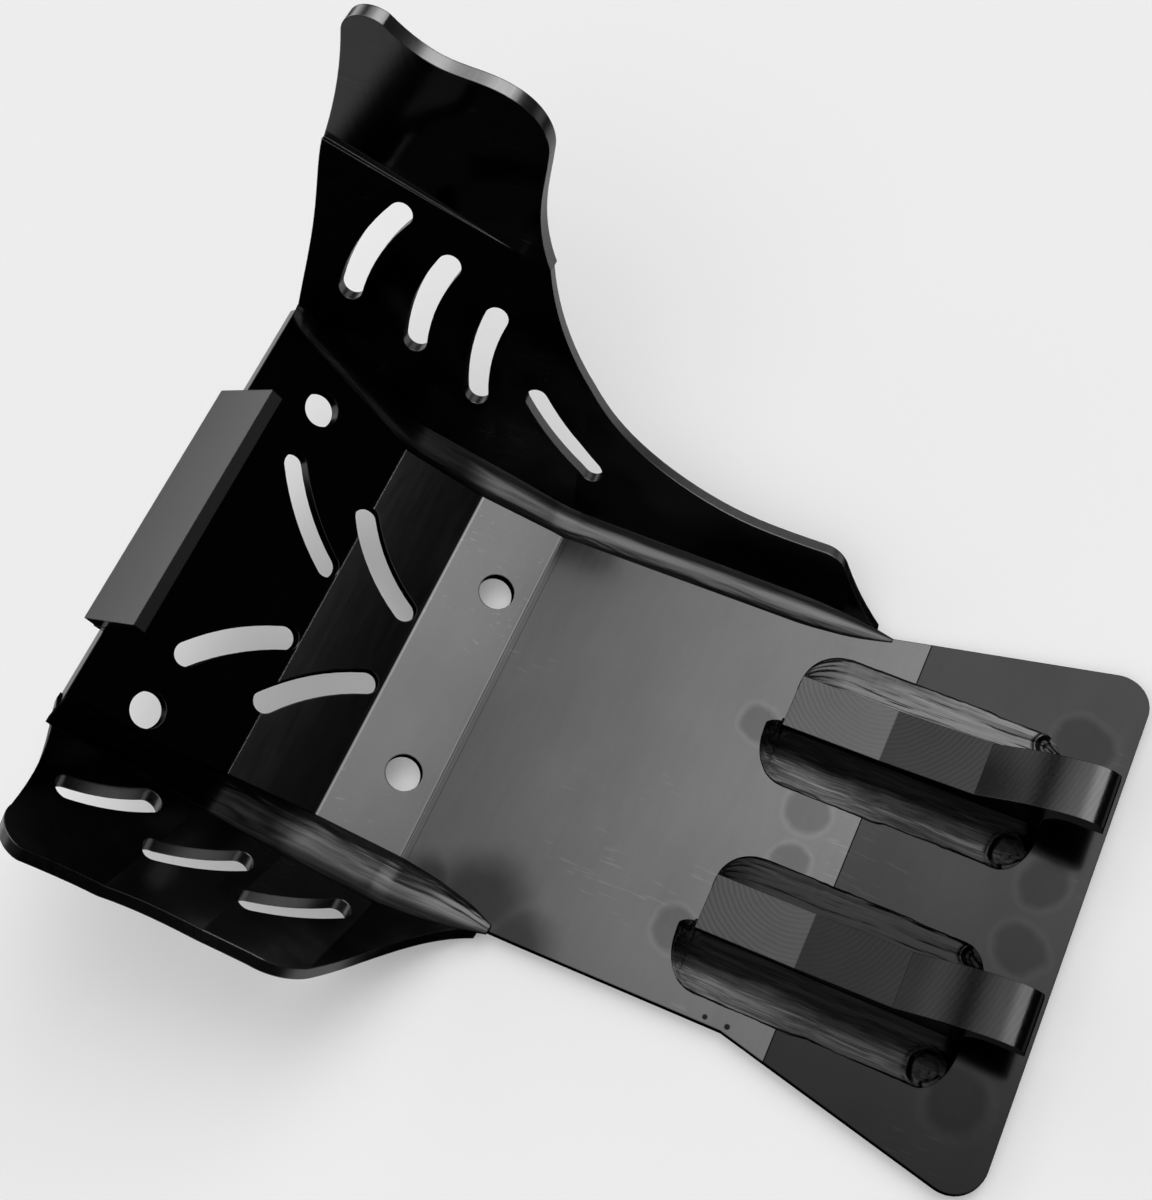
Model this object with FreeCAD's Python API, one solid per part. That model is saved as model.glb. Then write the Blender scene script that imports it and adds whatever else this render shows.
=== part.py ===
import FreeCAD, Part
import math
import os

V = FreeCAD.Vector

# Sheet and profile, millimetres. X forward, Y left, Z up. The drawing has the floor's top face at z = 0,
# and the files are raised by one sheet thickness, so that the underside lies at z = 0
SHEET = 5.0
REAR_X = -211.0
BAND_FOLD = (0.0, 0.0)
STRIP_FOLD = (31.0, 11.7)
PANEL_FOLD = (59.4, 25.1)
PANEL_TOP = (104.0, 64.9)
HALF_WIDTH = 73.9
RIGHT_TOP_HALF_WIDTH = 85.0
LEFT_TOP_HALF_WIDTH = 76.6
WAIST_X = -120.0
WAIST_HALF_WIDTH = 73.2
REAR_HALF_WIDTH = 93.8
REAR_CORNER_R = 11.0

# Holes and slots of the main plate
BAND_HOLE_D = 12.7
BAND_HOLE_Y = 36.7
BAND_HOLE_FROM_FOLD = 12.27
PANEL_HOLE_D = 12.4
PANEL_HOLE_Y = 60.6
PANEL_HOLE_FROM_TOP = 25.7
SLOT_W = 8.4
UPPER_SLOT = ((27.5, 38.3), (55.2, 14.7), 1.9)
LOWER_SLOT = ((-0.6, 37.5), (26.4, 14.7), 2.2)

# Wings, lean measured from the vertical
LEFT_LEAN = 48.0
RIGHT_LEAN = 28.0
TAB_BEND = 24.0
TAB_FOLD = ((48.3, 87.7), (133.4, 91.2))

# Hook brackets, side profile in X and Z
HOOK_Y = 37.7
HOOK_W = 19.05
HOOK_TOP = ((-100.5, 7.0), (-134.7, 8.0), (-167.2, 10.6))
HOOK_ARCH = ((-167.2, 10.6), (-171.2, 13.0), (-175.8, 15.8), (-182.2, 19.4), (-188.2, 22.2),
             (-194.4, 24.4), (-200.4, 25.8), (-204.6, 25.6), (-207.8, 23.6))
HOOK_TIP_LOW = (-208.4, 19.2)
THROAT_X = -199.6
THROAT_Z = 9.6
THROAT_R = 9.55

# Lip bar
LIP_HALF_LEN = 45.5
LIP_FRONT = (PANEL_TOP[0] + 6.7, PANEL_TOP[1] + 2.9)
LIP_REAR = (PANEL_TOP[0] - 17.6, PANEL_TOP[1] + 18.1)

# Welds: leg of the wing seams on the plate, widths of the hook beads on the floor, height of the hook beads
RIGHT_SEAM_LEG = 6.8
LEFT_SEAM_LEG = 10.8
RIGHT_INNER_BEAD_W = 18.2
RIGHT_OUTER_BEAD_W = 14.6
LEFT_INNER_BEAD_W = 12.8
LEFT_OUTER_BEAD_W = 18.6
HOOK_BEAD_H = 5.4
LIP_WELD_LEG = 4.0

# Leg of the wing seams up the wing, and hollow of the two seams, as shares of the leg on the plate
WING_LEG_SHARE = 0.9
RIGHT_SEAM_HOLLOW = 0.11
LEFT_SEAM_HOLLOW = 0.05

OUT = "parts"


def polygon_face(points):
    return Part.Face(Part.makePolygon(list(points) + [points[0]]))


def xz_prism(points, y0, y1):
    face = polygon_face([V(x, y0, z) for x, z in points])
    return face.extrude(V(0, y1 - y0, 0))


def line_meet(p, d, q, e):
    den = d[0] * e[1] - d[1] * e[0]
    if abs(den) < 1e-9:
        return q
    t = ((q[0] - p[0]) * e[1] - (q[1] - p[1]) * e[0]) / den
    return (p[0] + d[0] * t, p[1] + d[1] * t)


def offset_line(points, dist):
    """Shift an open 2D polyline to its right-hand side by dist, with mitred corners."""
    parts = []
    for a, b in zip(points[:-1], points[1:]):
        dx = b[0] - a[0]
        dy = b[1] - a[1]
        n = math.hypot(dx, dy)
        ox = dy / n * dist
        oy = -dx / n * dist
        parts.append(((a[0] + ox, a[1] + oy), (dx, dy), (b[0] + ox, b[1] + oy)))
    out = [parts[0][0]]
    for s, t in zip(parts[:-1], parts[1:]):
        out.append(line_meet(s[0], s[1], t[0], t[1]))
    out.append(parts[-1][2])
    return out


PROFILE = [(REAR_X, 0.0), BAND_FOLD, STRIP_FOLD, PANEL_FOLD, PANEL_TOP]
UNDER = offset_line(PROFILE, SHEET)

# Reach of cutting bodies, past the part on every side
FAR = 2 * REAR_HALF_WIDTH


def unit2(a, b):
    n = math.hypot(b[0] - a[0], b[1] - a[1])
    return ((b[0] - a[0]) / n, (b[1] - a[1]) / n)


def frame_on(a, b, y=0.0):
    """Frame on the sheet from profile point a towards b: along, up out of the sheet."""
    d = unit2(a, b)
    along = V(d[0], 0, d[1])
    up = V(0, 0, 1) if abs(d[0]) > 0.999 else V(-d[1], 0, d[0])
    if up.z < 0:
        up = up * -1
    return V(a[0], y, a[1]), along, up


def hole_cutter(a, b, dist, y, dia):
    """Cylinder through the sheet at a distance from profile point a towards b."""
    org, along, up = frame_on(a, b, y)
    deep = 4 * SHEET
    base = org + along * dist - up * deep
    return Part.makeCylinder(dia / 2.0, 2 * deep, base, up)


def slot_face(org, ex, ey, one, two, sag, width):
    """Curved slot between two cap centres; sag bows it to the left of the run from one to two."""
    dx = two[0] - one[0]
    dy = two[1] - one[1]
    n = math.hypot(dx, dy)
    nx = -dy / n
    ny = dx / n
    mid = ((one[0] + two[0]) / 2 + nx * sag, (one[1] + two[1]) / 2 + ny * sag)
    rad = (n * n / 4 + sag * sag) / (2 * abs(sag))
    side = 1 if sag > 0 else -1
    cx = mid[0] - nx * side * rad
    cy = mid[1] - ny * side * rad

    def at(point, r):
        vx = point[0] - cx
        vy = point[1] - cy
        m = math.hypot(vx, vy)
        return org + ex * (cx + vx / m * r) + ey * (cy + vy / m * r)

    def cap(point, away):
        ux = point[0] - away[0]
        uy = point[1] - away[1]
        vx = point[0] - cx
        vy = point[1] - cy
        m = math.hypot(vx, vy)
        tx = -vy / m
        ty = vx / m
        if tx * ux + ty * uy < 0:
            tx = -tx
            ty = -ty
        return org + ex * (point[0] + tx * width / 2) + ey * (point[1] + ty * width / 2)

    ro = rad + width / 2
    ri = rad - width / 2
    edges = [Part.Arc(at(one, ro), at(mid, ro), at(two, ro)).toShape(),
             Part.Arc(at(two, ro), cap(two, one), at(two, ri)).toShape(),
             Part.Arc(at(two, ri), at(mid, ri), at(one, ri)).toShape(),
             Part.Arc(at(one, ri), cap(one, two), at(one, ro)).toShape()]
    return Part.Face(Part.Wire(edges))


def plate_slots():
    cutters = []
    deep = 3 * SHEET
    for side in (-1, 1):
        for a, b, spec in ((PANEL_TOP, PANEL_FOLD, UPPER_SLOT), (PANEL_FOLD, STRIP_FOLD, LOWER_SLOT)):
            org, along, up = frame_on(a, b)
            one, two, sag = spec
            face = slot_face(org, along, V(0, side, 0), one, two, -sag, SLOT_W)
            face.translate(up * -deep)
            cutters.append(face.extrude(up * 2 * deep))
    return cutters


def lip_axes():
    along = unit2(LIP_FRONT, LIP_REAR)
    return along, (-along[1] * -1, along[0] * -1)


def lip_point(s, t):
    """Point of the lip section: s runs from the front edge to the rear, t is depth below the top face."""
    (ax, az), (nx, nz) = lip_axes()
    return (LIP_FRONT[0] + ax * s - nx * t, LIP_FRONT[1] + az * s - nz * t)


def top_lip():
    width = math.hypot(LIP_REAR[0] - LIP_FRONT[0], LIP_REAR[1] - LIP_FRONT[1])
    ring = [lip_point(0, 0), lip_point(width, 0), lip_point(width, SHEET), lip_point(0, SHEET)]
    return xz_prism(ring, -LIP_HALF_LEN, LIP_HALF_LEN)


def lip_tongue():
    """Strip of panel that reaches up to the underside of the lip."""
    dx, dz = unit2(PANEL_FOLD, PANEL_TOP)
    back = 2.0
    reach = 8.0
    ring = []
    for base in (PROFILE[-1], UNDER[-1]):
        ring.append([(base[0] - dx * back, base[1] - dz * back), (base[0] + dx * reach, base[1] + dz * reach)])
    tongue = xz_prism([ring[0][0], ring[0][1], ring[1][1], ring[1][0]], -LIP_HALF_LEN, LIP_HALF_LEN)
    above = [lip_point(-FAR, SHEET), lip_point(FAR, SHEET), lip_point(FAR, -FAR), lip_point(-FAR, -FAR)]
    return tongue.cut(xz_prism(above, -FAR, FAR))


def main_plate_blank():
    """Folded sheet cut to its outline in plan, with the rear corners rounded and the holes and slots cut."""
    blank = xz_prism(PROFILE + UNDER[::-1], -FAR, FAR)
    past = 10.0
    run = past / (PANEL_TOP[0] - PANEL_FOLD[0])
    left = [(REAR_X - 1, REAR_HALF_WIDTH + 0.2), (WAIST_X, WAIST_HALF_WIDTH), (WAIST_X * 0.4, HALF_WIDTH)]
    right = [(REAR_X - 1, REAR_HALF_WIDTH + 0.2), (WAIST_X, HALF_WIDTH)]
    for line, top in ((left, LEFT_TOP_HALF_WIDTH), (right, RIGHT_TOP_HALF_WIDTH)):
        line.append((PANEL_FOLD[0], HALF_WIDTH))
        line.append((PANEL_TOP[0], top))
        line.append((PANEL_TOP[0] + past, top + (top - HALF_WIDTH) * run))
    outline = [V(x, y, -FAR) for x, y in left] + [V(x, -y, -FAR) for x, y in right[::-1]]
    plan = polygon_face(outline).extrude(V(0, 0, 2 * FAR))
    plate = blank.common(plan)
    corners = []
    for e in plate.Edges:
        box = e.BoundBox
        if box.XMax < REAR_X + 1 and box.ZLength > SHEET - 0.5 and box.YLength < 0.5:
            corners.append(e)
    plate = plate.makeFillet(REAR_CORNER_R, corners)
    for side in (-1, 1):
        plate = plate.cut(hole_cutter(BAND_FOLD, STRIP_FOLD, BAND_HOLE_FROM_FOLD, side * BAND_HOLE_Y, BAND_HOLE_D))
        plate = plate.cut(hole_cutter(PANEL_TOP, PANEL_FOLD, PANEL_HOLE_FROM_TOP, side * PANEL_HOLE_Y,
                                      PANEL_HOLE_D))
    for c in plate_slots():
        plate = plate.cut(c)
    return plate.fuse(lip_tongue()).removeSplitter()


def wing_frame(side, lean):
    a = math.radians(lean)
    up = V(0, side * math.sin(a), math.cos(a))
    d = unit2(BAND_FOLD, STRIP_FOLD)
    e1 = V(d[0], 0, d[1])
    n = e1.cross(up)
    n.normalize()
    e2 = n.cross(e1)
    if e2.z < 0:
        e2 = e2 * -1
    n = e1.cross(e2)
    if n.y * side < 0:
        n = n * -1
    return V(0, side * HALF_WIDTH, 0), e1, e2, n, up


def root_points(side):
    top = LEFT_TOP_HALF_WIDTH if side > 0 else RIGHT_TOP_HALF_WIDTH
    half = [HALF_WIDTH, HALF_WIDTH, HALF_WIDTH, HALF_WIDTH, top]
    pts = [V(x, side * h, z) for (x, z), h in zip(PROFILE, half)]
    return pts


def wing_blank(side, lean):
    """Sheet that follows the plate's side edge: a folded profile pushed along the leaning direction."""
    a = math.radians(lean)
    up = V(0, side * math.sin(a), math.cos(a))
    ax = V(1, 0, 0)
    outw = up.cross(ax) * side
    pts = root_points(side)
    pts.append(pts[-1] + (pts[-1] - pts[-2]) * 1.5)
    flat = [(p.dot(ax), p.dot(outw)) for p in pts]
    shifted = offset_line(flat, -SHEET)
    if shifted[0][1] < flat[0][1]:
        shifted = offset_line(flat, SHEET)
    below = 14.0
    start = HALF_WIDTH * math.sin(a) - below
    ring = [ax * x + outw * o + up * start for x, o in flat + shifted[::-1]]
    return polygon_face(ring).extrude(up * FAR)


def path_wire(pieces, org, ex, ey):
    def at(p):
        return org + ex * p[0] + ey * p[1]
    edges = []
    for kind, pts in pieces:
        if kind == "line":
            for a, b in zip(pts[:-1], pts[1:]):
                edges.append(Part.makeLine(at(a), at(b)))
        elif kind == "arc":
            edges.append(Part.Arc(at(pts[0]), at(pts[1]), at(pts[2])).toShape())
        else:
            curve = Part.BSplineCurve()
            curve.interpolate([at(p) for p in pts])
            edges.append(curve.toShape())
    return Part.Wire(edges)


LEFT_OUTLINE = [
    ("line", [(-32.7, 8.1), (-24.0, -20.0), (123.5, -20.0), (122.4, 12.0), (120.2, 17.6)]),
    ("curve", [(120.2, 17.6), (118.0, 24.8), (116.0, 33.0), (114.8, 40.5), (114.2, 49.0), (114.2, 58.0)]),
    ("arc", [(114.2, 58.0), (111.9, 66.3), (104.4, 68.6)]),
    ("curve", [(104.4, 68.6), (92.6, 64.4), (74.0, 59.2), (48.0, 56.4), (30.0, 55.9)]),
    ("arc", [(30.0, 55.9), (20.4, 54.9), (12.6, 50.8)]),
    ("curve", [(12.6, 50.8), (5.0, 43.6), (-3.6, 33.6), (-12.0, 24.0), (-21.0, 15.4), (-32.7, 8.1)]),
]
LEFT_SLOTS = [((104.0, 38.8), (81.2, 21.2)), ((72.0, 36.8), (46.6, 21.4)), ((38.2, 35.4), (11.6, 19.8))]
LEFT_SLOT_SAG = 1.3

RIGHT_OUTLINE = [
    ("line", [(48.3, 87.7), (133.4, 91.2)]),
    ("curve", [(133.4, 91.2), (131.9, 84.0), (128.8, 72.9), (126.0, 62.0), (122.4, 42.7), (119.5, 25.6)]),
    ("line", [(119.5, 25.6), (124.0, 17.0), (124.0, -30.0), (-109.6, -30.0), (-109.6, 36.6)]),
    ("curve", [(-109.6, 36.6), (-104.0, 39.6), (-96.0, 44.8), (-88.5, 50.8)]),
    ("arc", [(-88.5, 50.8), (-84.0, 53.3), (-78.5, 52.9)]),
    ("curve", [(-78.5, 52.9), (-66.0, 48.6), (-50.0, 44.3), (-31.0, 42.3), (-12.0, 43.4), (5.6, 48.0),
               (21.0, 56.9), (35.8, 70.2), (48.3, 87.7)]),
]
RIGHT_SLOTS = [((100.6, 80.2), (105.9, 45.2), 2.4), ((79.0, 71.2), (78.6, 38.6), 2.2),
               ((57.2, 61.6), (51.6, 30.6), 2.0), ((32.0, 39.9), (3.2, 25.0), 1.4)]
TAB_OUTLINE = [
    ("line", [(85.2, 0.0), (0.0, 0.0)]),
    ("curve", [(0.0, 0.0), (-0.6, 18.6), (-2.6, 38.0), (-5.2, 52.0)]),
    ("arc", [(-5.2, 52.0), (-2.4, 60.6), (6.5, 63.4)]),
    ("curve", [(6.5, 63.4), (14.5, 60.8), (25.4, 60.0), (38.0, 63.4), (48.8, 65.2)]),
    ("arc", [(48.8, 65.2), (60.8, 61.2), (67.0, 51.0)]),
    ("curve", [(67.0, 51.0), (68.8, 42.6), (72.2, 27.4), (78.6, 10.8), (85.2, 0.0)]),
]


def below_plate():
    """Everything under the sheet, which trims the wings flush with its underside."""
    ends = [(UNDER[0][0] - FAR, UNDER[0][1])] + UNDER[1:-1]
    d = unit2(UNDER[-2], UNDER[-1])
    ends.append((UNDER[-1][0] + d[0] * FAR, UNDER[-1][1] + d[1] * FAR))
    return xz_prism(ends + [(ends[-1][0], -FAR), (ends[0][0], -FAR)], -FAR, FAR)


def cut_outline(blank, pieces, org, e1, e2, n):
    wire = path_wire(pieces, org - n * FAR, e1, e2)
    return blank.common(Part.Face(wire).extrude(n * 2 * FAR))


def left_wing():
    org, e1, e2, n, up = wing_frame(1, LEFT_LEAN)
    wing = cut_outline(wing_blank(1, LEFT_LEAN), LEFT_OUTLINE, org, e1, e2, n).cut(below_plate())
    deep = 12 * SHEET
    for one, two in LEFT_SLOTS:
        face = slot_face(org - n * deep, e1, e2, one, two, -LEFT_SLOT_SAG, SLOT_W)
        wing = wing.cut(face.extrude(n * 2 * deep))
    return wing


def right_wing():
    org, e1, e2, n, up = wing_frame(-1, RIGHT_LEAN)
    wing = cut_outline(wing_blank(-1, RIGHT_LEAN), RIGHT_OUTLINE, org, e1, e2, n).cut(below_plate())
    deep = 12 * SHEET
    for one, two, sag in RIGHT_SLOTS:
        face = slot_face(org - n * deep, e1, e2, one, two, sag, SLOT_W)
        wing = wing.cut(face.extrude(n * 2 * deep))
    return wing, org, e1, e2, n


def right_tab(org, e1, e2, n):
    """Upper tab, bent up from the wing about the fold line, with the outside of the bend filled."""
    def at(p):
        return org + e1 * p[0] + e2 * p[1]
    front = at(TAB_FOLD[1])
    rear = at(TAB_FOLD[0])
    along = rear - front
    length = along.Length
    along.normalize()
    away = n * -1 if n.y > 0 else V(n)
    away = away - along * away.dot(along)
    away.normalize()
    rise = along.cross(away)
    if rise.z < 0:
        rise = rise * -1
    turn = FreeCAD.Rotation(along, TAB_BEND)
    if turn.multVec(rise).y < rise.y:
        turn = FreeCAD.Rotation(along, -TAB_BEND)
    up = turn.multVec(rise)
    out = turn.multVec(away)
    end = TAB_OUTLINE[0][1][0][0]
    overlap = 2.0
    pieces = [("line", [(end, 0.0), (end, -overlap), (0.0, -overlap), (0.0, 0.0)])] + TAB_OUTLINE[1:]
    face = Part.Face(path_wire(pieces, front, along, up))
    tab = face.extrude(out * SHEET)
    mid = (away + out)
    mid.normalize()
    sector = Part.Face(Part.Wire([
        Part.makeLine(front, front + away * SHEET),
        Part.Arc(front + away * SHEET, front + mid * SHEET, front + out * SHEET).toShape(),
        Part.makeLine(front + out * SHEET, front)]))
    return tab.fuse(sector.extrude(along * length))


def right_wing_full():
    wing, org, e1, e2, n = right_wing()
    return wing.fuse(right_tab(org, e1, e2, n)).removeSplitter()


def hook_bracket(side):
    y0 = side * HOOK_Y - HOOK_W / 2
    def at(p):
        return V(p[0], y0, p[1])
    top = [at(p) for p in HOOK_TOP]
    arch = Part.BSplineCurve()
    arch.interpolate([at(p) for p in HOOK_ARCH])
    low = HOOK_TIP_LOW
    start = (THROAT_X, THROAT_Z + THROAT_R)
    back = (THROAT_X + THROAT_R, THROAT_Z)
    foot = (THROAT_X + THROAT_R, 0.0)
    s = math.sqrt(0.5)
    knee = (THROAT_X + THROAT_R * s, THROAT_Z + THROAT_R * s)
    nose = (HOOK_TOP[0][0], 0.0)
    edges = [Part.makeLine(at(nose), top[0]), Part.makeLine(top[0], top[1]), Part.makeLine(top[1], top[2]),
             arch.toShape(), Part.makeLine(at(HOOK_ARCH[-1]), at(low)), Part.makeLine(at(low), at(start)),
             Part.Arc(at(start), at(knee), at(back)).toShape(), Part.makeLine(at(back), at(foot)),
             Part.makeLine(at(foot), at(nose))]
    return Part.Face(Part.Wire(edges)).extrude(V(0, HOOK_W, 0))


def wing_bead(side, lean, leg, hollow, stations):
    """Hollow fillet bead in the wing seam. A station is (profile point, share of the way to the next, size)."""
    a = math.radians(lean)
    up = V(0, side * math.sin(a), math.cos(a))
    inward = V(0, -side, 0)
    roots = root_points(side)
    solids = []
    last = None
    for index, share, size in stations:
        root = roots[index] + (roots[min(index + 1, 4)] - roots[index]) * share
        toe = root + inward * (leg * size)
        top = root + up * (leg * size * WING_LEG_SHARE)
        mid = (toe + top) * 0.5
        out = (mid - root)
        out.normalize()
        crown = mid - out * (leg * size * hollow)
        wire = Part.Wire([Part.makeLine(root, toe), Part.Arc(toe, crown, top).toShape(), Part.makeLine(top, root)])
        if last is not None:
            solids.append(Part.makeLoft([last, wire], True, True))
        last = wire
    bead = solids[0].multiFuse(solids[1:])
    return bead.removeSplitter()


def hook_bead(face_y, away, width, near):
    """Broad bead on the floor beside a hook. Its front end wraps the hook's corner, its rear end is a round crater.

    A section is (place along X, share of the width, share of the height). It starts inside the hook, which is
    cut away from it.
    """
    front = HOOK_TOP[0][0]
    rear = THROAT_X + THROAT_R
    tuck = 4.0
    hollow = 0.37
    if near:
        ends = [(front + 6.6, 0.42, 0.20), (front + 4.6, 0.66, 0.50), (front + 0.6, 0.86, 0.78),
                (front - 8.0, 1.0, 1.0)]
        tail = [(rear + 9.0, 1.0, 1.0), (rear + 3.6, 0.90, 0.80), (rear + 0.6, 0.66, 0.48), (rear - 1.4, 0.40, 0.16)]
    else:
        ends = [(front + 1.4, 0.34, 0.20), (front - 0.6, 0.58, 0.56), (front - 4.4, 0.84, 0.84),
                (front - 14.0, 1.0, 1.0)]
        tail = [(rear + 9.0, 1.0, 1.0), (rear + 4.2, 0.90, 0.80), (rear + 1.2, 0.66, 0.48), (rear - 0.8, 0.40, 0.16)]
    wires = []
    for x, share, rise in ends + tail:
        wide = width * share
        high = HOOK_BEAD_H * rise
        root = V(x, face_y - away * tuck, 0)
        toe = V(x, face_y + away * wide, 0)
        top = V(x, face_y - away * tuck, high)
        crown = V(x, face_y + away * (wide - tuck) * 0.5, high * hollow)
        wires.append(Part.Wire([Part.makeLine(root, toe), Part.Arc(toe, crown, top).toShape(),
                                Part.makeLine(top, root)]))
    return Part.makeLoft(wires, True, True)


def lip_weld(rear):
    """Fillet bead between the lip and the panel: under the lip at the rear, or over the open front corner."""
    leg = LIP_WELD_LEG
    dx, dz = unit2(PANEL_TOP, PANEL_FOLD)
    (ax, az), (nx, nz) = lip_axes()
    if rear:
        base = PROFILE[-1]
        corner = line_meet(base, (dx, dz), lip_point(0, SHEET), (ax, az))
        toe = (corner[0] + dx * leg, corner[1] + dz * leg)
        top = (corner[0] + ax * leg, corner[1] + az * leg)
    else:
        base = UNDER[-1]
        corner = line_meet(base, (dx, dz), lip_point(0, SHEET), (ax, az))
        toe = (corner[0] + dx * leg, corner[1] + dz * leg)
        top = lip_point(0, SHEET * 0.45)
    mid = ((toe[0] + top[0]) / 2, (toe[1] + top[1]) / 2)
    bulge = (mid[0] - corner[0], mid[1] - corner[1]) if rear else (-ax - dz, dx - az)
    m = math.hypot(bulge[0], bulge[1])
    swell = leg * (0.22 if rear else 0.40)
    crown = (mid[0] + bulge[0] / m * swell, mid[1] + bulge[1] / m * swell)
    short = 1.5
    y0 = -LIP_HALF_LEN + short
    y1 = LIP_HALF_LEN - short
    def at(p):
        return V(p[0], y0, p[1])
    edges = [Part.makeLine(at(corner), at(toe)), Part.Arc(at(toe), at(crown), at(top)).toShape()]
    if rear:
        edges.append(Part.makeLine(at(top), at(corner)))
    else:
        front_low = lip_point(0, SHEET)
        edges.append(Part.makeLine(at(top), at(front_low)))
        edges.append(Part.makeLine(at(front_low), at(corner)))
    return Part.Face(Part.Wire(edges)).extrude(V(0, y1 - y0, 0))


def build():
    left = left_wing()
    right = right_wing_full()
    plate = main_plate_blank().cut(left).cut(right)
    plate = max(plate.Solids, key=lambda solid: solid.Volume)
    nodes = {"main_plate": plate, "left_wing": left, "right_wing": right, "top_lip": top_lip()}
    half = HOOK_W / 2
    for side, name in ((-1, "right"), (1, "left")):
        nodes[name + "_hook_bracket"] = hook_bracket(side)
    beads = (("right_inner_hook_weld", -HOOK_Y + half, 1, RIGHT_INNER_BEAD_W, True),
             ("right_outer_hook_weld", -HOOK_Y - half, -1, RIGHT_OUTER_BEAD_W, False),
             ("left_inner_hook_weld", HOOK_Y - half, -1, LEFT_INNER_BEAD_W, False),
             ("left_outer_hook_weld", HOOK_Y + half, 1, LEFT_OUTER_BEAD_W, True))
    for name, face_y, away, width, near in beads:
        hook = nodes[name.split("_")[0] + "_hook_bracket"]
        nodes[name] = hook_bead(face_y, away, width, near).cut(hook)
    right_run = ((0, 0.415, 0.12), (0, 0.45, 0.42), (0, 0.485, 0.66), (0, 0.56, 0.90), (1, 0.0, 0.98), (2, 0.0, 1.14),
                 (3, 0.0, 1.0), (3, 0.90, 0.86), (3, 0.99, 0.45))
    left_run = ((0, 0.818, 0.20), (0, 0.86, 0.55), (0, 0.927, 0.85), (1, 0.0, 1.04), (2, 0.0, 1.0), (3, 0.0, 0.84),
                (3, 0.45, 0.64), (3, 0.90, 0.72), (3, 0.99, 0.62))
    nodes["right_wing_weld"] = wing_bead(-1, RIGHT_LEAN, RIGHT_SEAM_LEG, RIGHT_SEAM_HOLLOW, right_run)
    nodes["left_wing_weld"] = wing_bead(1, LEFT_LEAN, LEFT_SEAM_LEG, LEFT_SEAM_HOLLOW, left_run)
    nodes["top_lip_rear_weld"] = lip_weld(True)
    nodes["top_lip_front_weld"] = lip_weld(False)
    return nodes


if __name__ == "__main__":
    os.makedirs(OUT, exist_ok=True)
    for name, shape in build().items():
        solids = len(shape.Solids)
        print(name, shape.isValid(), solids, round(shape.Volume), shape.BoundBox)
        if solids == 1:
            shape = shape.Solids[0]
        shape = shape.copy()
        shape.translate(V(0, 0, SHEET))
        shape.exportStep(os.path.join(OUT, name + ".step"))
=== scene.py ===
import math
import bmesh
import bpy
from mathutils import Matrix, Vector, noise
from mathutils.bvhtree import BVHTree


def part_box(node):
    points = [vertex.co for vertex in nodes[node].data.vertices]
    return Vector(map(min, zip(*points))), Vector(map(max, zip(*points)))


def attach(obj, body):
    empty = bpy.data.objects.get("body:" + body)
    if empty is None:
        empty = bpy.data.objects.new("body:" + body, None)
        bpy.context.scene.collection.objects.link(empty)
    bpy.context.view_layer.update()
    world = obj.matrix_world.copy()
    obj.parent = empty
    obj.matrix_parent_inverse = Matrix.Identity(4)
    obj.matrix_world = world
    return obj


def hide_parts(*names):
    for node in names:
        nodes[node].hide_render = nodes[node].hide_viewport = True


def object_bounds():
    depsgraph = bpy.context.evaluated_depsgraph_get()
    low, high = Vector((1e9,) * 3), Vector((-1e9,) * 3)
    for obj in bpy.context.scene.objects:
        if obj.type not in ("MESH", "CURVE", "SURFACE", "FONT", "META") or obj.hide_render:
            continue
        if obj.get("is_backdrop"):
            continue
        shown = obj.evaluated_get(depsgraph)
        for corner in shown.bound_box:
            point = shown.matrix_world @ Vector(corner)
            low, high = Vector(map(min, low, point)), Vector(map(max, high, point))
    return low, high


# Start from an empty scene
bpy.ops.wm.read_factory_settings(use_empty=True)
scene = bpy.context.scene
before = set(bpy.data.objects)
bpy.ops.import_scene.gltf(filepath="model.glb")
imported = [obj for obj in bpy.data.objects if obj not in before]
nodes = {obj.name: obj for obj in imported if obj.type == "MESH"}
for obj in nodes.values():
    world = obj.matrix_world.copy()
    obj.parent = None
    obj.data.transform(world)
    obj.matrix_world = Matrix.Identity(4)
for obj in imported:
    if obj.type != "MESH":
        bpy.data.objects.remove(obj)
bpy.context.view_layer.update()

# Camera at the photograph's viewing angle: its place, and its own three directions
CAMERA_PLACE = Vector((-0.170655, 0.172589, 0.576497))
CAMERA_RIGHT = Vector((-0.90561, -0.41487, -0.08806))
CAMERA_UP = Vector((0.34495, -0.84132, 0.41616))
CAMERA_BACK = Vector((-0.24674, 0.34650, 0.90502))
cam_data = bpy.data.cameras.new("camera")
cam_data.sensor_fit = "HORIZONTAL"
cam_data.sensor_width = 36.0
cam_data.lens = 55.48
cam_data.clip_start = 0.01
cam = bpy.data.objects.new("camera", cam_data)
turn = Matrix((CAMERA_RIGHT, CAMERA_UP, CAMERA_BACK)).transposed()
cam.matrix_world = Matrix.Translation(CAMERA_PLACE) @ turn.to_4x4()
scene.collection.objects.link(cam)
scene.camera = cam


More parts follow.
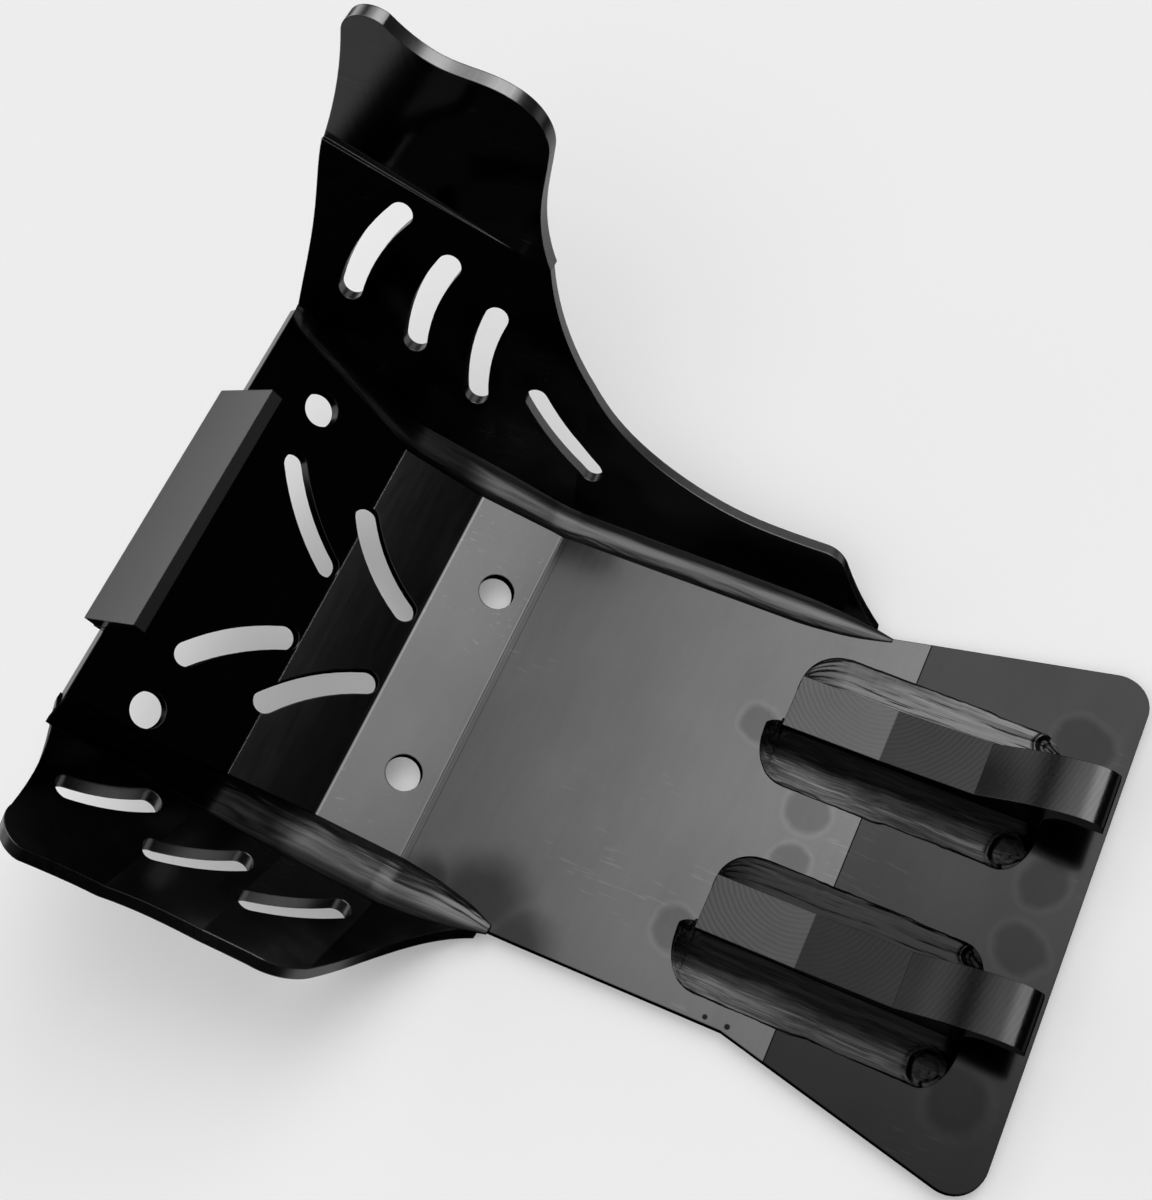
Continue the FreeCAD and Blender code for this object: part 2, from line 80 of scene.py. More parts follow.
class Graph:
    """Short hand for building the nodes of a material or of the world."""

    def __init__(self, tree, out_kind="ShaderNodeOutputMaterial"):
        self.tree = tree
        self.tree.nodes.clear()
        self.out = self.add(out_kind)

    def add(self, kind, **values):
        node = self.tree.nodes.new(kind)
        for key, value in values.items():
            setattr(node, key, value)
        return node

    def link(self, a, b):
        self.tree.links.new(a, b)

    def put(self, socket, value):
        """Link a value that comes from a node, or set a plain one."""
        if hasattr(value, "is_output"):
            self.link(value, socket)
        else:
            socket.default_value = value

    def math(self, op, a, b=0.0, c=0.0):
        node = self.add("ShaderNodeMath", operation=op)
        self.put(node.inputs[0], a)
        self.put(node.inputs[1], b)
        self.put(node.inputs[2], c)
        return node.outputs[0]

    def times(self, *values):
        """Product of all values."""
        total = values[0]
        for value in values[1:]:
            total = self.math("MULTIPLY", total, value)
        return total

    def step(self, value, low, high):
        """0 below low, 1 above high, smooth between."""
        node = self.add("ShaderNodeMapRange", interpolation_type="SMOOTHSTEP")
        self.put(node.inputs["Value"], value)
        node.inputs["From Min"].default_value = low
        node.inputs["From Max"].default_value = high
        return node.outputs[0]

    def fall(self, value, low, high):
        """1 below low, 0 above high, smooth between."""
        return self.math("SUBTRACT", 1.0, self.step(value, low, high))

    def band(self, value, centre, half, soft):
        """1 within half of centre, fading to 0 over soft."""
        gap = self.math("ABSOLUTE", self.math("SUBTRACT", value, centre))
        return self.fall(gap, half, half + soft)

    def place(self):
        """The point on the surface, in metres: whole, and its X and Y."""
        coord = self.add("ShaderNodeTexCoord")
        split = self.add("ShaderNodeSeparateXYZ")
        self.link(coord.outputs["Object"], split.inputs[0])
        return coord.outputs["Object"], split.outputs[0], split.outputs[1]

    def mapped(self, vector, stretch=(1.0, 1.0, 1.0), angle=0.0):
        node = self.add("ShaderNodeMapping")
        self.link(vector, node.inputs["Vector"])
        node.inputs["Scale"].default_value = stretch
        node.inputs["Rotation"].default_value = (0.0, 0.0, angle)
        return node.outputs[0]

    def noise(self, vector, scale, detail=2.0, stretch=None):
        if stretch is not None:
            vector = self.mapped(vector, stretch)
        node = self.add("ShaderNodeTexNoise")
        self.link(vector, node.inputs["Vector"])
        node.inputs["Scale"].default_value = scale
        node.inputs["Detail"].default_value = detail
        return node.outputs[0]

    def spread(self, value, low, high):
        """Bring a noise value from 0..1 to low..high."""
        return self.math("MULTIPLY_ADD", value, high - low, low)

    def mix(self, factor, a, b):
        """a where the factor is 0, b where it is 1."""
        node = self.add("ShaderNodeMix", data_type="FLOAT")
        self.put(node.inputs[0], factor)
        self.put(node.inputs[2], a)
        self.put(node.inputs[3], b)
        return node.outputs[0]

    def grey(self, value):
        """Colour with the same value in all three channels."""
        node = self.add("ShaderNodeCombineColor")
        for socket in node.inputs:
            self.put(socket, value)
        return node.outputs[0]

    def round_edges(self, radius):
        """Normal that catches the light on the edges as if they were rounded."""
        node = self.add("ShaderNodeBevel", samples=6)
        node.inputs["Radius"].default_value = radius
        return node.outputs[0]

    def bump(self, height, distance, normal, strength=1.0):
        node = self.add("ShaderNodeBump")
        self.put(node.inputs["Height"], height)
        node.inputs["Distance"].default_value = distance
        node.inputs["Strength"].default_value = strength
        self.link(normal, node.inputs["Normal"])
        return node.outputs[0]

    def contact(self, reach):
        """1 on open ground, falling towards 0 in a tight corner; used to paint shade into tight corners."""
        node = self.add("ShaderNodeAmbientOcclusion", samples=8)
        node.inputs["Distance"].default_value = reach
        return node.outputs["AO"]

    def spots(self, x, y, points, warp):
        """Largest value over round patches, 1 at each centre and 0 at its rim."""
        total = None
        for px, py, radius in points:
            dx = self.math("SUBTRACT", x, px)
            dy = self.math("SUBTRACT", y, py)
            gap = self.math("SQRT", self.math("ADD", self.times(dx, dx), self.times(dy, dy)))
            gap = self.math("DIVIDE", self.math("ADD", gap, warp), radius)
            near = self.math("SUBTRACT", 1.0, gap)
            total = near if total is None else self.math("MAXIMUM", total, near)
        return total

    def coated(self, tone, rough, normal):
        """Black hard coat on metal. The tone is the share of light that it mirrors head on."""
        node = self.add("ShaderNodeBsdfPrincipled")
        self.link(self.grey(tone), node.inputs["Base Color"])
        node.inputs["Metallic"].default_value = 1.0
        self.put(node.inputs["Roughness"], rough)
        self.link(normal, node.inputs["Normal"])
        self.link(node.outputs[0], self.out.inputs["Surface"])


def new_material(name):
    """An empty material and the short hand for its nodes."""
    mat = bpy.data.materials.new(name)
    mat.use_nodes = True
    return mat, Graph(mat.node_tree)


# Lines of the folded sheet along X, in metres
REAR_STEP = -0.1362
BAND_FOLD = 0.0002
STRIP_FOLD = 0.0307
PANEL_FOLD = 0.0594

# Lines of the hook brackets along X: the painted shade on the bar starts, its hook starts, the painted
# highlight on the hook is at its palest
BAR_SHADE_START = -0.1347
HOOK_START = -0.1672
HOOK_HIGHLIGHT_PEAK = -0.190

# Patches that the welding heat left on the floor: X, Y, radius
HEAT_PATCHES = (
    (-0.0917, -0.0272, 0.0080),
    (-0.1190, -0.0055, 0.0095),
    (-0.1195, 0.0135, 0.0080),
    (-0.0935, 0.0500, 0.0085),
    (-0.1950, -0.0625, 0.0115),
    (-0.1975, -0.0120, 0.0100),
    (-0.1975, 0.0120, 0.0100),
    (-0.1950, 0.0640, 0.0125))

# Shade beside the left seam, and nicks in the left edge: X, Y, radius
SEAM_SHADE = ((-0.0300, 0.0660, 0.0240), (-0.0470, 0.0740, 0.0180), (-0.0120, 0.0670, 0.0140))
EDGE_NICKS = ((-0.1140, 0.0712, 0.0011), (-0.1217, 0.0713, 0.0012))


def flat_faces(obj):
    """Directions of the large flat faces of a piece."""
    same_direction = 0.995
    large_share = 0.04
    groups = []
    for poly in obj.data.polygons:
        for group in groups:
            if abs(group[0].dot(poly.normal)) > same_direction:
                group[1] += poly.area
                break
        else:
            groups.append([poly.normal.copy(), poly.area])
    total = sum(area for normal, area in groups)
    return [normal for normal, area in groups if area > large_share * total]


def plate_material():
    """Satin black sheet: a tone painted for each folded facet as painted shade, lines of painted highlight
    and painted shade along the folds, heat patches, handling marks, and painted shade in tight corners.
    """
    mat, g = new_material("plate_satin_black")
    vec, x, y = g.place()
    grain = g.noise(vec, 520.0, 4.0, (0.9, 0.12, 0.9))
    cloud = g.noise(vec, 28.0, 4.0)
    smear = g.noise(g.mapped(vec, (1.0, 0.35, 1.0), 0.6), 60.0, 4.0)

    # Tone of each folded facet: the strip, the panel and the rear of the floor are painted darker than the
    # floor, as painted shade, and the rear is darker still towards the left
    rear_shade_tone = g.mix(g.step(y, -0.020, 0.085), 0.0260, 0.0145)
    tone = g.mix(g.step(x, STRIP_FOLD - 0.0001, STRIP_FOLD + 0.0003), 0.080, 0.022)
    tone = g.mix(g.step(x, PANEL_FOLD - 0.0002, PANEL_FOLD + 0.0003), tone, 0.036)
    tone = g.mix(g.fall(x, REAR_STEP - 0.0002, REAR_STEP + 0.0002), tone, rear_shade_tone)

    # Painted lines along the folds and the step at the rear: dark lines of painted shade in the creases and
    # at the step, and pale lines of painted highlight beside the folds
    tone = g.mix(g.band(x, REAR_STEP, 0.00012, 0.00018), tone, 0.0024)
    # Dark lines of painted shade along the band's fold, doubled at the bend's other edge
    fold_shade_line = g.band(x, BAND_FOLD, 0.00008, 0.00016)
    bend_edge_shade_line = g.band(x, BAND_FOLD - 0.0023, 0.00004, 0.0001)
    double_shade_line = g.math("MAXIMUM", fold_shade_line, bend_edge_shade_line)
    tone = g.mix(g.times(double_shade_line, 0.75), tone, 0.008)
    # Pale lines of painted highlight beside the folds
    tone = g.mix(g.band(x, BAND_FOLD + 0.0006, 0.00008, 0.0002), tone, 0.105)
    tone = g.mix(g.band(x, STRIP_FOLD - 0.0009, 0.00010, 0.0003), tone, 0.130)
    # Dark line of painted shade in the strip's fold
    tone = g.mix(g.band(x, STRIP_FOLD, 0.00022, 0.00020), tone, 0.0015)
    # Pale line of painted highlight on the panel's fold
    tone = g.mix(g.times(g.band(x, PANEL_FOLD, 0.00015, 0.0002), 0.9), tone, 0.300)

    # Heat patches with a lighter rim, the shade beside the left seam, and two nicks in the edge
    warp = g.spread(g.noise(vec, 55.0, 3.0), -0.0045, 0.0045)
    patch = g.spots(x, y, HEAT_PATCHES, warp)
    inside = g.mix(g.step(patch, 0.08, 0.34), 1.0, 0.74)
    rim = g.mix(g.band(patch, 0.03, 0.02, 0.12), 1.0, 1.09)
    shade = g.mix(g.step(g.spots(x, y, SEAM_SHADE, warp), 0.0, 0.7), 1.0, 0.36)
    nicks = g.mix(g.step(g.spots(x, y, EDGE_NICKS, 0.0), 0.0, 0.4), 1.0, 0.10)
    tone = g.times(tone, inside, rim, shade, nicks)

    # Handling marks, grain, and painted shade in tight corners
    tick = g.step(g.noise(g.mapped(vec, (0.10, 1.0, 1.0), 1.05), 900.0, 1.0), 0.66, 0.74)
    tick = g.times(tick, g.step(g.noise(vec, 17.0, 1.0), 0.50, 0.62))
    tone = g.times(tone, g.mix(tick, 1.0, 1.22), g.spread(cloud, 0.87, 1.13), g.spread(grain, 0.93, 1.07),
                   g.spread(smear, 0.92, 1.08))
    # Painted shade in tight corners
    tone = g.times(tone, g.mix(g.step(g.contact(0.0016), 0.35, 0.85), 0.15, 1.0))
    rough = g.math("ADD", g.spread(grain, 0.12, 0.17), g.times(g.step(smear, 0.5, 0.8), 0.03))
    normal = g.bump(grain, 0.00002, g.round_edges(0.0005), 0.3)
    g.coated(tone, rough, normal)
    return mat


def wing_material(name, obj):
    """Satin coat, duller on the cut edges, which are told by their direction, and painted paler there as a
    painted highlight.
    """
    mat, g = new_material(name)
    vec = g.place()[0]
    facing = g.add("ShaderNodeNewGeometry")
    flat = None
    for normal in flat_faces(obj):
        dot = g.add("ShaderNodeVectorMath", operation="DOT_PRODUCT")
        g.link(facing.outputs["True Normal"], dot.inputs[0])
        dot.inputs[1].default_value = normal
        size = g.math("ABSOLUTE", dot.outputs["Value"])
        flat = size if flat is None else g.math("MAXIMUM", flat, size)
    edge = g.fall(flat, 0.72, 0.88)
    grain = g.noise(vec, 500.0, 3.0, (1.0, 0.3, 0.1))
    cloud = g.noise(vec, 34.0, 4.0)
    smudge = g.step(g.noise(g.mapped(vec, (0.4, 1.0, 1.0), 0.5), 70.0, 4.0), 0.48, 0.72)
    thread = g.noise(vec, 620.0, 0.0, (0.030, 1.0, 1.0))
    scratch = g.times(g.band(thread, 0.60, 0.003, 0.006), g.step(g.noise(vec, 24.0, 1.0), 0.52, 0.60))
    tone = g.times(g.spread(cloud, 0.034, 0.050), g.mix(smudge, 1.0, 1.4))
    tone = g.mix(scratch, tone, 0.160)
    # The cut edges are painted paler, as a painted highlight
    tone = g.mix(edge, tone, g.spread(grain, 0.150, 0.200))
    rough = g.math("ADD", g.times(smudge, 0.04), g.times(edge, 0.16))
    rough = g.math("ADD", g.spread(grain, 0.08, 0.12), rough)
    normal = g.bump(grain, 0.00002, g.round_edges(0.0006), 0.3)
    g.coated(tone, rough, normal)
    return mat


def lip_material():
    """Satin grey bar with a fine grain along its length."""
    mat, g = new_material("lip_satin_grey")
    vec = g.place()[0]
    grain = g.noise(vec, 700.0, 3.0, (1.0, 0.05, 1.0))
    cloud = g.noise(vec, 40.0, 3.0)
    tone = g.times(g.spread(grain, 0.060, 0.074), g.spread(cloud, 0.94, 1.06))
    rough = g.spread(grain, 0.20, 0.26)
    normal = g.bump(grain, 0.00003, g.round_edges(0.0005), 0.4)
    g.coated(tone, rough, normal)
    return mat


def bracket_material(name, strength, centre_y):
    """Milled bar: arcs left by the cutter, painted shade on its middle, and on the hook painted shade where
    it starts that turns to a painted highlight towards the rear.
    """
    mat, g = new_material(name)
    vec, x = g.place()[:2]
    cutter = g.add("ShaderNodeMapping")
    g.link(vec, cutter.inputs["Vector"])
    cutter.inputs["Location"].default_value = (0.1260, 0.020 - centre_y, 0.0)
    wave = g.add("ShaderNodeTexWave", wave_type="RINGS", rings_direction="Z")
    g.link(cutter.outputs[0], wave.inputs["Vector"])
    wave.inputs["Scale"].default_value = 190.0
    wave.inputs["Distortion"].default_value = 2.4
    wave.inputs["Detail"].default_value = 3.0
    arcs = wave.outputs[1]
    fine = g.noise(vec, 800.0, 2.0)
    cloud = g.noise(vec, 60.0, 3.0)
    soft = 0.0003
    # Painted shade on the middle of the bar, and on the hook painted shade at its start that turns to a
    # painted highlight
    on_hook = g.fall(x, HOOK_START - soft, HOOK_START + soft)
    # strength scales these tones as painted light, so the right bracket's copy is lighter
    tone = g.mix(g.fall(x, BAR_SHADE_START - soft, BAR_SHADE_START + soft), 0.044 * strength, 0.0200 * strength)
    hook = g.mix(g.step(x, HOOK_HIGHLIGHT_PEAK, HOOK_START - 0.0018), 0.062 * strength, 0.021 * strength)
    tone = g.mix(on_hook, tone, hook)
    tone = g.times(tone, g.spread(cloud, 0.88, 1.12), g.spread(arcs, 0.95, 1.05), g.spread(fine, 0.94, 1.06))
    rough = g.spread(fine, 0.16, 0.22)
    depth = g.mix(on_hook, 1.0, 0.3)
    normal = g.bump(g.times(arcs, depth), 0.00003, g.round_edges(0.0004), 0.35)
    g.coated(tone, rough, normal)
    return mat


def ropes(g, vec, x, y):
    """Streaks that run along a bead and wander a little, coarse and fine."""
    wander = g.noise(vec, 46.0, 2.0)
    bent = g.add("ShaderNodeCombineXYZ")
    g.put(bent.inputs[0], g.times(x, 0.045))
    g.put(bent.inputs[1], g.math("MULTIPLY_ADD", wander, 0.0030, y))
    coarse = g.noise(bent.outputs[0], 430.0, 2.0)
    fine = g.noise(bent.outputs[0], 1500.0, 2.0)
    return coarse, fine


def hook_weld_material(name, face, toe, lit_side, crater, hook_side_light_and_shade):
    """Bead on the floor beside a hook, from the hook's face (0) to its toe (1). The part by the hook takes
    each bead's own painted light or painted shade, the outer part of beads off the lit side is painted darker
    towards the rear, and painted shade lies along the toe and in tight corners.
    """
    mat, g = new_material(name)
    vec, x, y = g.place()
    coarse, fine = ropes(g, vec, x, y)
    across = g.math("DIVIDE", g.math("SUBTRACT", y, face), toe - face)
    wavy = g.math("ADD", across, g.spread(g.noise(vec, 60.0, 2.0), -0.12, 0.12))
    lines = g.step(coarse, 0.34, 0.66)
    # The part by the hook is painted with this bead's own light or shade
    if lit_side:
        body = g.mix(g.step(wavy, 0.30, 0.62), hook_side_light_and_shade, max(0.018, 0.9 * hook_side_light_and_shade))
        ridge = g.times(g.step(wavy, 0.40, 0.62), fine)
        tone = g.times(body, g.mix(ridge, 1.0, g.spread(lines, 0.35, 1.45)))
    else:
        # Painted shade: the outer part darker towards the rear
        outer = g.mix(g.step(x, -0.150, -0.112), 0.036, 0.088)
        body = g.mix(g.step(wavy, 0.36, 0.76), hook_side_light_and_shade, outer)
        tone = g.times(body, g.spread(lines, 0.75, 1.25))
    # A thin dark line of painted shade along the toe
    tone = g.times(tone, g.spread(fine, 0.70, 1.30), g.mix(g.band(wavy, 0.98, 0.008, 0.03), 1.0, 0.30))
    # Painted shade in tight corners
    tone = g.times(tone, g.mix(g.step(g.contact(0.0012), 0.30, 0.80), 0.10, 1.0))
    normal = g.bump(coarse, 0.00040, g.round_edges(0.0007), 0.8)
    normal = g.bump(fine, 0.00010, normal, 0.6)

    # Round pool where the weld ended
    warp = g.spread(g.noise(vec, 260.0, 3.0), -0.0011, 0.0011)
    pool = g.spots(x, y, (crater,), warp)
    inside = g.step(pool, 0.0, 0.12)
    tone = g.times(tone, g.mix(inside, 1.0, 0.42), g.mix(g.band(pool, 0.03, 0.03, 0.05), 1.0, 0.35))
    g.coated(tone, g.spread(fine, 0.17, 0.27), normal)
    return mat


def long_weld_material(name, level, layered, dark_from=None):
    """Long bead, painted darker where it is steep, as painted shade. A bead in a wing seam is painted dark as
    painted shade from a share of its width on, towards the wing, and all along the panel."""
    mat, g = new_material(name)
    vec, x, y = g.place()
    coarse, fine = ropes(g, vec, x, y)
    if dark_from is not None:
        across = g.add("ShaderNodeAttribute", attribute_name="across")
        wavy = g.math("ADD", across.outputs["Fac"], g.spread(coarse, -0.12, 0.12))
        # Painted shade towards the wing and along the panel
        wing_side_shade = g.step(wavy, dark_from, dark_from + 0.22)
        panel_side_shade = g.step(x, 0.026, 0.040)
        tone = g.mix(g.math("MAXIMUM", wing_side_shade, panel_side_shade), level, level * 0.15)
    else:
        facing = g.add("ShaderNodeNewGeometry")
        split = g.add("ShaderNodeSeparateXYZ")
        g.link(facing.outputs["Normal"], split.inputs[0])
        # Painted shade where the bead is steep
        steep_shade = g.fall(g.math("ADD", split.outputs[2], g.spread(coarse, -0.15, 0.15)), 0.45, 0.80)
        tone = g.mix(steep_shade, level, level * 0.45)
    lines = g.step(coarse, 0.34, 0.66)
    tone = g.times(tone, g.spread(lines, 1.0 - layered, 1.0 + layered), g.spread(fine, 0.85, 1.15))
    # Painted shade in tight corners
    tone = g.times(tone, g.mix(g.step(g.contact(0.0012), 0.30, 0.80), 0.12, 1.0))
    normal = g.bump(coarse, 0.00060 * layered, g.round_edges(0.0007), 0.8)
    normal = g.bump(fine, 0.00006, normal, 0.6)
    g.coated(tone, g.spread(fine, 0.17, 0.26), normal)
    return mat


# The brackets stand on the plate's floor, so their underside gives the height of its top
FLOOR_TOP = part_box("right_hook_bracket")[0][2]

# Relief of the weld beads, which are modelled in full in place of the plain ones of the frame, in metres
COARSE_STREAK = 0.00022
FINE_STREAK = 0.00011
LATE_STREAK = 0.00010
SEAM_COARSE_STREAK = 0.00020
SEAM_FINE_STREAK = 0.00009
TOE_STEP = 0.00045
POOL_RIM = 0.00055
POOL_DISH = 0.00075
POOL_RIPPLE = 0.00010

# Rise of a seam bead's face in its middle, as a share of its width, and the length that each end loses
SEAM_ROUND = 0.10
SEAM_INSET = 0.0003


def wobble(a, b, seed):
    """Smooth value of about -1 to 1 over two coordinates."""
    return noise.noise(Vector((a, b, seed)))


def clamp01(value):
    """The value held between 0 and 1."""
    return min(1.0, max(0.0, value))


def ease(value):
    """Smooth step from 0 to 1."""
    value = clamp01(value)
    return value * value * (3 - 2 * value)


def shell(name, rings, mat, node):
    """Closed mesh through a run of rings with equal numbers of points, capped at both ends."""
    count = len(rings[0])
    points = [point for ring in rings for point in ring]
    faces = []
    for row in range(len(rings) - 1):
        for i in range(count):
            j = (i + 1) % count
            faces.append((row * count + i, row * count + j, (row + 1) * count + j, (row + 1) * count + i))
    last = (len(rings) - 1) * count
    faces.append(tuple(range(count - 1, -1, -1)))
    faces.append(tuple(range(last, last + count)))
    mesh = bpy.data.meshes.new(name)
    mesh.from_pydata(points, [], faces)
    mesh.validate()
    work = bmesh.new()
    work.from_mesh(mesh)
    bmesh.ops.recalc_face_normals(work, faces=work.faces)
    work.to_mesh(mesh)
    work.free()
    mesh.shade_smooth()
    mesh.set_sharp_from_angle(angle=math.radians(50))
    mesh.materials.append(mat)
    obj = bpy.data.objects.new(name, mesh)
    scene.collection.objects.link(obj)
    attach(obj, "root")
    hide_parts(node)
    return obj


def tree_of(obj):
    """Search tree over a piece's faces, for distances to them."""
    points = [vert.co for vert in obj.data.vertices]
    return BVHTree.FromPolygons(points, [tuple(poly.vertices) for poly in obj.data.polygons])


def slice_at(work, x):
    """Points of a closed mesh where it crosses a plane of constant X."""
    cut = work.copy()
    geometry = cut.verts[:] + cut.edges[:] + cut.faces[:]
    made = bmesh.ops.bisect_plane(cut, geom=geometry, dist=1e-7, plane_co=(x, 0, 0), plane_no=(1, 0, 0))
    points = [item.co.copy() for item in made["geom_cut"] if isinstance(item, bmesh.types.BMVert)]
    cut.free()
    return points


def averaged(points, reach):
    """Each point moved to the mean of its neighbours, the two ends kept."""
    result = []
    for i in range(len(points)):
        near = min(reach, i, len(points) - 1 - i)
        group = points[i - near:i + near + 1]
        result.append(sum(group, Vector()) / len(group))
    return result


def seam_bead(node, wing_node, mat, streaky, seed):
    """Bead in a wing seam: the frame's plain bead made round, with streaks that run along it."""
    low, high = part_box(node)
    work = bmesh.new()
    work.from_mesh(nodes[node].data)
    to_plate = tree_of(nodes["main_plate"])
    to_wing = tree_of(nodes[wing_node])
    rows = 240
    columns = 30
    reach = 5
    roots = []
    plate_toes = []
    wing_toes = []
    for row in range(rows + 1):
        x = low[0] + SEAM_INSET + (high[0] - low[0] - 2 * SEAM_INSET) * row / rows
        marks = []
        for point in slice_at(work, x):
            marks.append((to_plate.find_nearest(point)[3], to_wing.find_nearest(point)[3], point))
        if len(marks) < 3:
            continue
        roots.append(min(marks, key=lambda mark: mark[0] + mark[1])[2])
        plate_toes.append(max(marks, key=lambda mark: mark[1])[2])
        wing_toes.append(max(marks, key=lambda mark: mark[0])[2])
    work.free()
    rings = []
    lines = (averaged(roots, reach), averaged(plate_toes, reach), averaged(wing_toes, reach))
    for root, first, last in zip(*lines):
        middle = (first + last) / 2
        out = (middle - root).normalized()
        width = (last - first).length
        ring = []
        for column in range(columns + 1):
            v = column / columns
            free = ease(min(v, 1 - v) / 0.16) * min(1.0, width / 0.005)
            drift = v * 6 + 0.6 * wobble(root.x * 45, 1.0, seed)
            rise = width * SEAM_ROUND * 4 * v * (1 - v)
            rise += SEAM_COARSE_STREAK * free * streaky * wobble(root.x * 40, drift, seed)
            rise += SEAM_FINE_STREAK * free * streaky * wobble(root.x * 110, drift * 2.6, seed + 4)
            ring.append(tuple(first.lerp(last, v) + out * rise))
        ring.append(tuple(root))
        rings.append(ring)
    obj = shell(node + "_bead", rings, mat, node)

    # Share of the way from the plate's toe to the wing's, for the bead's material
    across = obj.data.attributes.new("across", "FLOAT", "POINT")
    shares = [min(column, columns) / columns for column in range(columns + 2)]
    across.data.foreach_set("value", shares * len(rings))


def streak_relief(x, v, late, seed):
    """Streaks along a hook bead, at a share v of the way from its root to its toe."""
    drift = v * 9 + 0.7 * wobble(x * 55, 1.0, seed)
    streak = COARSE_STREAK * wobble(x * 38, drift, seed)
    streak += FINE_STREAK * wobble(x * 110, drift * 2.6, seed + 4)
    return streak + LATE_STREAK * late * wobble(x * 60, v * 5, seed + 9)


def pool_relief(x, y, pool, seed):
    """Raised rim, dish and ripples of the round pool where a hook bead ended."""
    gap = math.hypot(x - pool[0], y - pool[1]) / pool[2]
    gap += 0.10 * wobble(x * 260, y * 260, seed + 2)
    relief = POOL_RIM * math.exp(-((gap - 1.0) / 0.16) ** 2) - POOL_DISH * clamp01(1 - gap * gap)
    return relief + POOL_RIPPLE * math.sin(gap * 17) * clamp01(1.1 - gap)


def corner_lump(x, y, front, face, seed):
    """Spatter at the corner where a hook's front meets its bead."""
    gap = math.hypot(x - front - 0.0008, (y - face) * 0.8)
    return math.exp(-(gap / 0.0024) ** 2) * (0.0006 + 0.0011 * wobble(x * 900, y * 900, seed))


def hook_bead(node, bar, mat, near, pool, seed):
    """Bead on the floor beside a hook: round nose, streaks along it, and a pool with a rim where it ended."""
    low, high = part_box(node)
    bar_low, bar_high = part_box(bar)
    away = 1.0 if high[1] > bar_high[1] else -1.0
    face = bar_high[1] if away > 0 else bar_low[1]
    width = abs((high[1] if away > 0 else low[1]) - face)
    front = bar_high[0]
    nose = 0.0146 if near else 0.0154
    tail = 0.0104
    tall = high[2] - FLOOR_TOP
    tuck = 0.0035
    inset = 0.0004
    columns = 56
    rows = 250
    start = high[0] - inset
    end = low[0] + inset
    restart = front - 0.040 if near else front - 0.062
    rings = []
    for row in range(rows + 1):
        x = start + (end - start) * row / rows
        d_nose = clamp01((start - x) / nose)
        d_tail = clamp01((x - end) / tail)
        share = math.sqrt(1 - (1 - d_nose) ** 2.4) * math.sqrt(1 - (1 - d_tail) ** 2.4)
        rise = math.sqrt(1 - (1 - d_nose) ** 2.0) * math.sqrt(1 - (1 - d_tail) ** 2.0)

        # 1 behind the place where the weld was started again
        late = ease((restart - x) / 0.004)
        share *= 1.0 - 0.035 * late + 0.020 * wobble(x * 90, 0.0, seed) + 0.010 * wobble(x * 400, 3.0, seed)
        share = max(share, 0.03)
        ahead = clamp01((x - front) / 0.0066) if near else clamp01((x - front) / 0.0014)
        inner = face - away * (tuck * math.sqrt(1 - ahead ** 2) if x > front else 0.0)
        toe = face + away * width * share

        # The face falls from the hook to the toe
        ring = []
        for column in range(columns + 1):
            v = column / columns
            y = inner + (toe - inner) * v
            shape = 1 - 1.35 * v + 0.35 * v * v
            z = tall * 0.93 * rise * shape * (ease(v / 0.4) if x > front + 0.0012 else 1.0)
            z += TOE_STEP * (1 - v ** 14) * min(1.0, rise * 2)
            z += streak_relief(x, v, late, seed) * (0.25 + 0.75 * ease(v / 0.3)) * min(1.0, rise * 1.5)
            if near:
                z += corner_lump(x, y, front, face, seed)
            z += pool_relief(x, y, pool, seed)
            ring.append((x, y, FLOOR_TOP + max(z, 0.0001)))
        ring.append((x, toe, FLOOR_TOP))
        ring.append((x, inner, FLOOR_TOP))
        rings.append(ring)
    shell(node + "_bead", rings, mat, node)


# Materials on the pieces, and the beads. The right bracket's tones are painted lighter than the left one's,
# as painted light
BRACKET_PAINTED_LIGHT = {"right": 1.30, "left": 1.0}
# Tone of each hook bead's part by the hook, as painted light or painted shade
HOOK_SIDE_LIGHT_AND_SHADE = {"right_outer": 0.085, "left_inner": 0.016, "right_inner": 0.004, "left_outer": 0.006}
finish = {
    "main_plate": plate_material(),
    "right_wing": wing_material("right_wing_satin_black", nodes["right_wing"]),
    "left_wing": wing_material("left_wing_satin_black", nodes["left_wing"]),
    "top_lip": lip_material(),
    "top_lip_front_weld": long_weld_material("lip_front_bead", 0.060, 0.30),
    "top_lip_rear_weld": long_weld_material("lip_rear_bead", 0.040, 0.45),
    "right_wing_weld": long_weld_material("right_seam_bead", 0.104, 0.18, 0.60),
    "left_wing_weld": long_weld_material("left_seam_bead", 0.056, 0.40, 0.66)}
beads = []
for hand, strength in BRACKET_PAINTED_LIGHT.items():
    bar = hand + "_hook_bracket"
    low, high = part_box(bar)
    finish[bar] = bracket_material(bar + "_milled", strength, (low[1] + high[1]) / 2)

    # Each hook bead ends in a pool, which stays inside its toe and its rear end
    for where in ("inner", "outer"):
        name = hand + "_" + where + "_hook_weld"
        bead_low, bead_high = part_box(name)
        towards_left = bead_high[1] > high[1]
        face, toe = (high[1], bead_high[1]) if towards_left else (low[1], bead_low[1])
        pool_r = abs(toe - face) * 0.34
        from_toe = -pool_r * 1.05 if towards_left else pool_r * 1.05
        pool = (bead_low[0] + pool_r * 1.25, toe + from_toe, pool_r)
        tone = HOOK_SIDE_LIGHT_AND_SHADE[hand + "_" + where]
        finish[name] = hook_weld_material(name + "_bead", face, toe, not towards_left, pool, tone)
        beads.append((name, bar, finish[name], towards_left, pool, 3.0 + 7.0 * len(beads)))
for name, obj in nodes.items():
    for slot in obj.material_slots:
        slot.material = finish[name]
for bead in beads:
    hook_bead(*bead)
